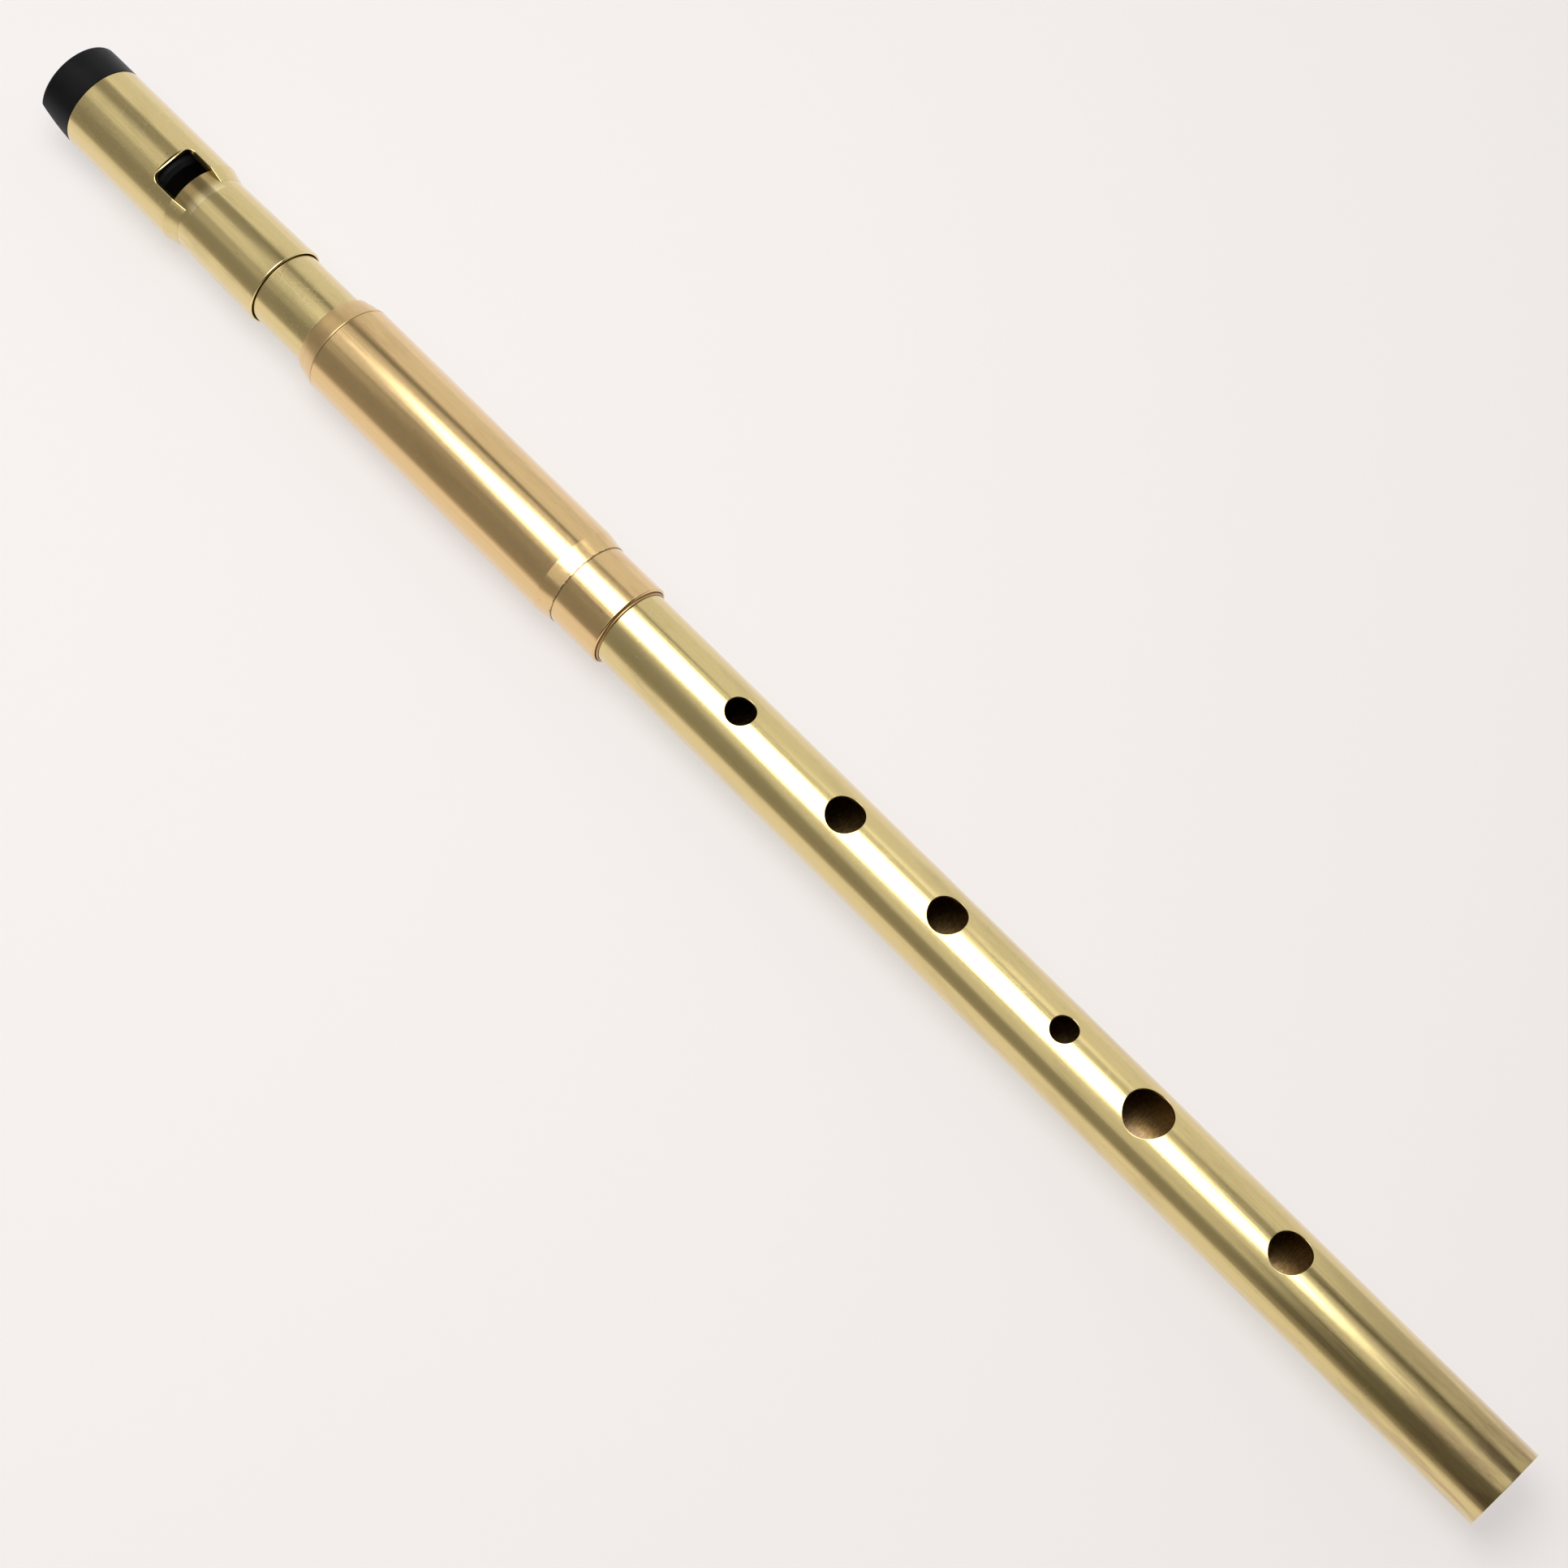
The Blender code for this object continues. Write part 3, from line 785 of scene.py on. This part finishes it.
def make_joint_sleeve(sizes, finish):
    """The thick outer sleeve with its coned lower end."""
    low, high = span("joint_sleeve")
    outer = axis_height()
    inner = sizes.collar_radius + SKIN
    outline = [
        (low, inner),
        (low, inner + sizes.cone_edge),
        (low + sizes.cone_length, outer),
        *arc((high - EDGE, outer - EDGE), EDGE, 90, 0, EDGE_STEPS),
        (high, inner),
    ]
    sleeve = turned("whistle_sleeve", outline)
    solder = (station(low), [part * SOLDER_TONE for part in finish.joint_tarnish_and_shade])
    metal = warm_brass("sleeve_brass", finish, inner - HIDDEN_BORE, solder=solder)
    dress(sleeve, "joint_sleeve", "joint", metal)


def make_end_ring(sizes, finish):
    """The coned ring at the joint's upper end, with the spigot that goes inside."""
    outer = axis_height()
    seat = span("joint_sleeve")[1] + SEAT
    nose = span("end_ring")[1]
    nose_radius = sizes.ring_bore + sizes.nose_wall
    spigot = sizes.collar_radius - sizes.collar_wall - CLEARANCE
    middle = (nose - sizes.nose_round, nose_radius - sizes.nose_round)
    outline = [
        (seat - sizes.spigot, sizes.ring_bore),
        (seat - sizes.spigot, spigot),
        (seat, spigot),
        *arc((seat + EDGE, outer - EDGE), EDGE, 180, 90, EDGE_STEPS),
        (seat + sizes.ring_land + RING_CHAMFER, outer),
        *arc(middle, sizes.nose_round, CONE_MEETS_NOSE, 0),
        (nose, sizes.ring_bore + RING_CHAMFER),
        (nose - RING_CHAMFER, sizes.ring_bore),
    ]
    ring = turned("whistle_ring", outline)
    looks = {"lines": "round", "roughness": TURNED_ROUGHNESS}
    metal = warm_brass("ring_brass", finish, sizes.ring_bore, **looks)
    dress(ring, "end_ring", "joint", metal)


class MakeJoint(Operator):
    """Build the joint: the inner tube with its collar, the coned sleeve and the end ring"""

    bl_idname = "whistle.make_joint"
    bl_label = "Make Joint"

    def execute(self, context):
        sizes = context.scene.whistle_joint
        finish = context.scene.whistle_finish
        make_collar(sizes, finish)
        make_joint_sleeve(sizes, finish)
        make_end_ring(sizes, finish)
        return {"FINISHED"}


class MakeTuningTube(Operator):
    """Build the tuning tube between the joint and the head"""

    bl_idname = "whistle.make_tuning_tube"
    bl_label = "Make Tuning Tube"

    def execute(self, context):
        sizes = context.scene.whistle_joint
        finish = context.scene.whistle_finish
        bore = sizes.tuning_radius - sizes.tuning_wall
        outline = tube_outline(*span("tuning_tube"), bore, sizes.tuning_radius, EDGE)
        tube = turned("whistle_tuning_tube", outline)
        looks = {"roughness": HANDLED_ROUGHNESS, "wear": TUNING_WEAR}
        metal = yellow_brass("tuning_brass", finish, bore, **looks)
        dress(tube, "tuning_tube", "tuning", metal)
        return {"FINISHED"}


def head_places(sizes):
    """The distances from the foot of the shoulder, the blade and the window's top."""
    shoulder = span("head_sleeve")[0]
    blade = shoulder + sizes.shoulder + sizes.blade_gap
    return shoulder, blade, blade + sizes.window_length


def window_angle(sizes):
    """Half the angle that the window takes up round the head."""
    return math.asin(sizes.window_width / 2 / sizes.radius)


def window_cutter(sizes):
    """A cutter for the window, with a flare that follows the sleeve and its shoulder."""
    low, _, top = head_places(sizes)
    cone_top = low + sizes.shoulder

    def surface(distance):
        share = min(max((distance - low) / (cone_top - low), 0.0), 1.0)
        return sizes.tube_radius + (sizes.radius - sizes.tube_radius) * share

    half = sizes.radius * window_angle(sizes)
    corner = sizes.window_corner
    start = low - OVERCUT
    inner = top - corner
    side = [start + (inner - start) * step / SIDE_STEPS for step in range(SIDE_STEPS)]
    rim = flared_rim(0.0, sizes.window_edge)
    levels = [(0.0, -1.5 * OVERCUT), *rim, (rim[-1][0], 2 * OVERCUT)]
    shape = bmesh.new()
    cap = None
    for grown, height in levels:
        places = [(distance, half + grown) for distance in side]
        places += arc((inner, half - corner), corner + grown, 90, 0, CORNER_STEPS)
        places += arc((inner, corner - half), corner + grown, 0, -90, CORNER_STEPS)[1:]
        places += [(distance, -half - grown) for distance in reversed(side)]
        if cap is None:
            floor = [shape.verts.new((0, 0, 0)) for _ in places]
            cap = shape.faces.new(floor)
        else:
            cap = bmesh.ops.extrude_discrete_faces(shape, faces=[cap])["faces"][0]
        for vertex, (distance, across) in zip(cap.verts, places):
            radius = surface(distance) + height
            angle = across / sizes.radius
            vertex.co = (station(distance), radius * math.sin(angle), radius * math.cos(angle))
    caps = [cap, shape.faces.new(floor)]
    bmesh.ops.triangulate(shape, faces=caps)
    return as_object("window_cutter", shape)


def scoop_cutter(sizes):
    """The large arc under the mouth end that thins the beak."""
    mouth = span("fipple_plug")[1]
    slope = sizes.beak_slope
    reach = sizes.scoop_radius
    middle = (mouth + reach * math.sin(slope), sizes.beak_height - reach * math.cos(slope))
    past_tip = math.asin(math.sin(slope) - OVERCUT / reach)
    bottom = -sizes.radius - OVERCUT
    deepest = math.acos((bottom - middle[1]) / reach)
    ends = 90 + math.degrees(past_tip), 90 + math.degrees(deepest)
    outline = [*arc(middle, reach, *ends, SCOOP_STEPS), (mouth + OVERCUT, bottom)]
    shape = bmesh.new()
    side = sizes.radius + OVERCUT
    face = shape.faces.new([shape.verts.new((station(at), -side, up)) for at, up in outline])
    result = bmesh.ops.extrude_face_region(shape, geom=[face])
    moved = [item for item in result["geom"] if isinstance(item, bmesh.types.BMVert)]
    bmesh.ops.translate(shape, verts=moved, vec=(0, 2 * side, 0))
    return as_object("scoop_cutter", shape)


# Where the rounding of the neck's rim meets the widening neck, in degrees.
RIM_MEETS_NECK = 92


def make_head_tube(sizes, finish):
    """The inner tube: the neck with its rounded rim, and the ramp cut down to the blade."""
    bore = sizes.tube_radius - sizes.tube_wall
    rim, tube_end = span("head_tube")
    shoulder, blade, _ = head_places(sizes)
    lip = sizes.tube_wall - LAND
    rim_radius = sizes.tube_radius + sizes.neck_widening
    outline = [
        (rim, rim_radius - sizes.tube_wall),
        *arc((rim + lip, rim_radius - lip), lip, 180, RIM_MEETS_NECK),
        (shoulder, sizes.tube_radius),
        (tube_end, sizes.tube_radius),
        (tube_end, bore),
        (shoulder, bore),
    ]
    tube = turned("whistle_neck", outline)

    ramp_foot = blade - sizes.ramp
    widening = sizes.neck_widening / (shoulder - rim)
    ramp_top = sizes.tube_radius + widening * (shoulder - ramp_foot)
    slope = (ramp_top - bore - sizes.blade_thickness) / sizes.ramp
    slot = [
        (ramp_foot - OVERCUT, ramp_top + slope * OVERCUT),
        (blade, bore + sizes.blade_thickness),
        (blade, bore - OVERCUT),
        (tube_end + OVERCUT, bore - OVERCUT),
        (tube_end + OVERCUT, sizes.tube_radius + OVERCUT),
        (ramp_foot - OVERCUT, sizes.tube_radius + OVERCUT),
    ]
    carve(tube, part_turned("blade_cutter", slot, window_angle(sizes)))
    carve(tube, scoop_cutter(sizes))
    # Where the ramp's painted shade and highlights lie on the neck.
    ramp = (station(shoulder), station(blade), sizes.tube_radius, widening)
    metal = yellow_brass("neck_brass", finish, bore, wear=HEAD_WEAR, ramp=ramp)
    dress(tube, "head_tube", "head", metal, sizes.twist)


def make_head_sleeve(sizes, finish):
    """The outer tube with its shoulder and its window."""
    tube_end = span("head_tube")[1]
    shoulder = head_places(sizes)[0]
    outline = [
        (shoulder, sizes.tube_radius + SKIN),
        (shoulder, sizes.tube_radius + 2 * SKIN),
        (shoulder + sizes.shoulder, sizes.radius),
        *arc((tube_end - EDGE, sizes.radius - EDGE), EDGE, 90, 0, EDGE_STEPS),
        (tube_end, sizes.tube_radius + SKIN),
    ]
    sleeve = turned("whistle_head", outline)
    carve(sleeve, window_cutter(sizes))
    carve(sleeve, scoop_cutter(sizes))
    looks = {"roughness": HANDLED_ROUGHNESS, "wear": HEAD_WEAR}
    metal = yellow_brass("head_brass", finish, sizes.tube_radius - sizes.tube_wall, **looks)
    dress(sleeve, "head_sleeve", "head", metal, sizes.twist)


def make_plug(sizes, finish):
    """The plastic plug with the windway over it and the scoop under its mouth end."""
    bore = sizes.tube_radius - sizes.tube_wall
    radius = bore - SKIN
    chamfer, edge = sizes.plug_chamfer, sizes.plug_edge
    slot_roof = sizes.tube_radius + CLEARANCE
    slot_floor = slot_roof - sizes.windway_out
    window_top = head_places(sizes)[2]
    mouth = span("fipple_plug")[1]
    front = window_top - sizes.floor_shown - chamfer + (bore - CLEARANCE - slot_floor)
    nose_back = span("head_tube")[1] + SEAT
    outline = [
        (front, 0),
        (front, radius - chamfer),
        (front + chamfer, radius),
        (nose_back, radius),
        (nose_back, sizes.radius - CLEARANCE),
        (nose_back + CLEARANCE, sizes.radius),
        *arc((mouth - edge, sizes.radius - edge), edge, 90, 0),
        (mouth, 0),
    ]
    plug = turned("whistle_plug", outline, closed=False)
    windway = [
        (front - OVERCUT, slot_floor),
        (window_top, slot_floor),
        (mouth + OVERCUT, slot_roof - sizes.windway_in),
        (mouth + OVERCUT, slot_roof),
        (front - OVERCUT, slot_roof),
    ]
    half_angle = math.asin(sizes.windway_width / 2 / (slot_roof - sizes.windway_out / 2))
    carve(plug, part_turned("windway_cutter", windway, half_angle))
    carve(plug, scoop_cutter(sizes))
    dress(plug, "fipple_plug", "head", black_plastic("plug_plastic", finish.plug), sizes.twist)


class MakeHead(Operator):
    """Build the head: the tube with its blade, the sleeve with its window, and the plug"""

    bl_idname = "whistle.make_head"
    bl_label = "Make Head"

    def execute(self, context):
        sizes = context.scene.whistle_head
        finish = context.scene.whistle_finish
        make_head_tube(sizes, finish)
        make_head_sleeve(sizes, finish)
        make_plug(sizes, finish)
        return {"FINISHED"}


# The lamps over the whistle: middle, size along and across, turn, and brightness.
# A bright softbox is ringed by dimmer ones, so that its edge fades in the brass.
LAMP_HEIGHT = 1.0
OVERHEAD_LAMPS = (
    ("softbox_heart", (-0.21, -0.19), (0.78, 0.88), 0.32, 4.4),
    ("softbox_fade", (-0.21, -0.24), (1.14, 1.56), 0.28, 0.48),
    ("body_glow", (-0.17, 0.28), (0.46, 1.30), 0.0, 0.50),
    ("low_side_fade", (-0.20, -1.50), (0.60, 2.60), 0.0, 0.42),
    ("head_end_glow", (-0.86, -0.38), (0.56, 0.70), 0.0, 0.66),
    ("head_end_air", (-1.35, -0.30), (1.30, 2.60), 0.0, 0.18),
    ("foot_end_strip", (0.30, -0.13), (0.44, 0.25), 0.0, 1.35),
)

# The panels beside the whistle: middle, size, and brightness.
SIDE_LAMPS = (
    ("back_panel", (-0.8, 1.0, 0.80), (4.4, 1.60), 0.40),
    ("back_panel_head", (-1.4, 1.01, 0.80), (3.1, 1.60), 0.28),
    ("front_panel_head", (-1.5, -1.6, 1.0), (3.2, 2.0), 0.18),
)

# Half the floor's width, and the dim warm light of the room's air.
FLOOR_REACH = 30.0
AIR_COLOUR = (1.0, 0.90, 0.72)
AIR_STRENGTH = 0.10

# The paper's own glow, and how much of the paper it makes up.
PAPER_GLOW = 1.08
PAPER_SHARE = 0.60

# Painted dark reflection: past the lower side the paper is painted dark for reflections
# only. The Y where it is full and where it starts, its colour, and how much of the paper
# it makes up.
DARK_FULL, DARK_START = -0.10, -0.065
PAINTED_REFLECTION_DARK = (0.16, 0.14, 0.10)
DARK_SHARE = 0.80

# The camera's turns in degrees, its place from the middle of the foot in radii of the
# body tube, and its focal length in pixels of a picture that is PICTURE_WIDTH wide.
CAMERA_TILT = 24.5
CAMERA_SWING = 15.886
CAMERA_NOD = -0.059
CAMERA_ROLL = 44.595
CAMERA_PLACE = (-1.166, 0.0, 71.884)
FOCAL_LENGTH = 4112.4
PICTURE_WIDTH = 1932
SENSOR_WIDTH = 36.0
NEAREST = 0.01


def studio_paper(name, tint):
    """Pale paper that keeps part of the shadow and glows evenly for the rest.

    Past a hand's width on the lower side, reflections see the paper painted dark.
    """
    graph = Graph(name)
    shader = graph.shader
    shader.inputs["Base Color"].default_value = opaque(tint)
    shader.inputs["Roughness"].default_value = 0.9
    shader.inputs["Specular IOR Level"].default_value = 0.0
    parts = graph.add("ShaderNodeSeparateXYZ")
    graph.links.new(graph.place, parts.inputs[0])
    ray = graph.add("ShaderNodeLightPath")
    glossy = ray.outputs["Is Glossy Ray"]
    # Painted dark reflection: glossy rays see the paper dark past the lower side.
    painted_dark_side = graph.spread(parts.outputs["Y"], DARK_FULL, DARK_START, 1.0, 0.0)
    dark = graph.math("MULTIPLY", painted_dark_side, glossy)
    seen = graph.math("MAXIMUM", ray.outputs["Is Camera Ray"], ray.outputs["Is Transmission Ray"])
    seen = graph.math("MULTIPLY", graph.math("MAXIMUM", seen, glossy), PAPER_SHARE)
    share = graph.math("MAXIMUM", seen, graph.math("MULTIPLY", dark, DARK_SHARE))
    glow = graph.add("ShaderNodeEmission")
    graph.links.new(graph.mix(dark, opaque(tint), opaque(PAINTED_REFLECTION_DARK)), glow.inputs["Color"])
    glow.inputs["Strength"].default_value = PAPER_GLOW
    blend = graph.add("ShaderNodeMixShader")
    graph.links.new(share, blend.inputs[0])
    graph.links.new(shader.outputs[0], blend.inputs[1])
    graph.links.new(glow.outputs[0], blend.inputs[2])
    graph.links.new(blend.outputs[0], graph.nodes["Material Output"].inputs["Surface"])
    return graph.material


def lay_floor(tint):
    """Lay the whistle on one large square of pale paper."""
    shape = bmesh.new()
    bmesh.ops.create_grid(shape, x_segments=1, y_segments=1, size=FLOOR_REACH)
    floor = as_object("studio_floor", shape)
    floor.data.materials.append(studio_paper("floor_paper", tint))


def fill_air(scene):
    """Give the room around the studio a dim warm light."""
    world = bpy.data.worlds.new("studio_air")
    world.use_nodes = True
    air = world.node_tree.nodes["Background"]
    air.inputs["Color"].default_value = opaque(AIR_COLOUR)
    air.inputs["Strength"].default_value = AIR_STRENGTH
    scene.world = world


def softbox(name, place, target, size, radiance, shape="ELLIPSE", turn=0.0):
    """An area lamp of a given brightness, aimed at a target."""
    lamp = bpy.data.lights.new(name, "AREA")
    lamp.shape = shape
    lamp.size, lamp.size_y = size
    area = size[0] * size[1] * (math.pi / 4 if shape == "ELLIPSE" else 1.0)
    lamp.energy = radiance * math.pi * area
    box = bpy.data.objects.new(name, lamp)
    bpy.context.scene.collection.objects.link(box)
    aim = (Vector(target) - Vector(place)).to_track_quat("-Z", "Y").to_matrix().to_4x4()
    box.matrix_world = Matrix.Translation(place) @ aim @ Matrix.Rotation(turn, 4, "Z")


def hang_lamps():
    """Hang the softboxes over the whistle, and stand the panels beside it."""
    for name, (along, across), size, turn, radiance in OVERHEAD_LAMPS:
        place = (along, across, LAMP_HEIGHT + axis_height())
        softbox(name, place, (along, across, 0), size, radiance, turn=turn)
    for name, place, size, radiance in SIDE_LAMPS:
        softbox(name, place, (place[0], 0, place[2]), size, radiance, shape="RECTANGLE")


def place_camera(scene):
    """Look down at the whistle from above its foot, a little to the side."""
    tilt = Matrix.Rotation(math.radians(CAMERA_TILT), 3, "X")
    swing = Matrix.Rotation(math.radians(CAMERA_SWING), 3, "Y")
    nod = Matrix.Rotation(math.radians(CAMERA_NOD), 3, "X")
    roll = Matrix.Rotation(math.radians(CAMERA_ROLL), 3, "Z")
    camera = bpy.data.cameras.new("studio_camera")
    camera.sensor_width = SENSOR_WIDTH
    camera.lens = FOCAL_LENGTH * SENSOR_WIDTH / PICTURE_WIDTH
    camera.clip_start = NEAREST
    holder = bpy.data.objects.new("studio_camera", camera)
    scene.collection.objects.link(holder)
    stand_off = tilt @ Vector([part * BODY_RADIUS for part in CAMERA_PLACE])
    place = Vector((foot(), 0, axis_height())) + stand_off
    turn = (tilt @ swing @ nod @ roll).to_4x4()
    holder.matrix_world = Matrix.Translation(place) @ turn
    scene.camera = holder


class MakeStage(Operator):
    """Build the pale floor, the studio lamps and the camera"""

    bl_idname = "whistle.make_stage"
    bl_label = "Make Stage"

    def execute(self, context):
        scene = context.scene
        lay_floor(scene.whistle_finish.floor)
        fill_air(scene)
        hang_lamps()
        place_camera(scene)
        scene.view_settings.view_transform = "Standard"
        return {"FINISHED"}


class WhistlePanel(Panel):
    """The whistle's pieces, sizes and colours in the sidebar"""

    bl_idname = "WHISTLE_PT_build"
    bl_label = "Low Whistle"
    bl_space_type = "VIEW_3D"
    bl_region_type = "UI"
    bl_category = "Whistle"

    def draw(self, context):
        for operator in OPERATORS:
            self.layout.operator(operator.bl_idname)
        for group, _ in GROUPS:
            values = getattr(context.scene, group)
            column = self.layout.column()
            for key in values.bl_rna.properties.keys():
                if key not in ("rna_type", "name"):
                    column.prop(values, key)


GROUPS = (
    ("whistle_body", BodySizes),
    ("whistle_joint", JointSizes),
    ("whistle_head", HeadSizes),
    ("whistle_finish", Finishes),
)
OPERATORS = (MakeBody, MakeJoint, MakeTuningTube, MakeHead, MakeStage)


def register():
    for name, group in GROUPS:
        bpy.utils.register_class(group)
        setattr(bpy.types.Scene, name, PointerProperty(type=group))
    for operator in OPERATORS:
        bpy.utils.register_class(operator)
    bpy.utils.register_class(WhistlePanel)


def unregister():
    bpy.utils.unregister_class(WhistlePanel)
    for operator in reversed(OPERATORS):
        bpy.utils.unregister_class(operator)
    for name, group in reversed(GROUPS):
        delattr(bpy.types.Scene, name)
        bpy.utils.unregister_class(group)


def main():
    register()
    for operator in OPERATORS:
        group, name = operator.bl_idname.split(".")
        getattr(getattr(bpy.ops, group), name)()


if __name__ == "__main__":
    main()
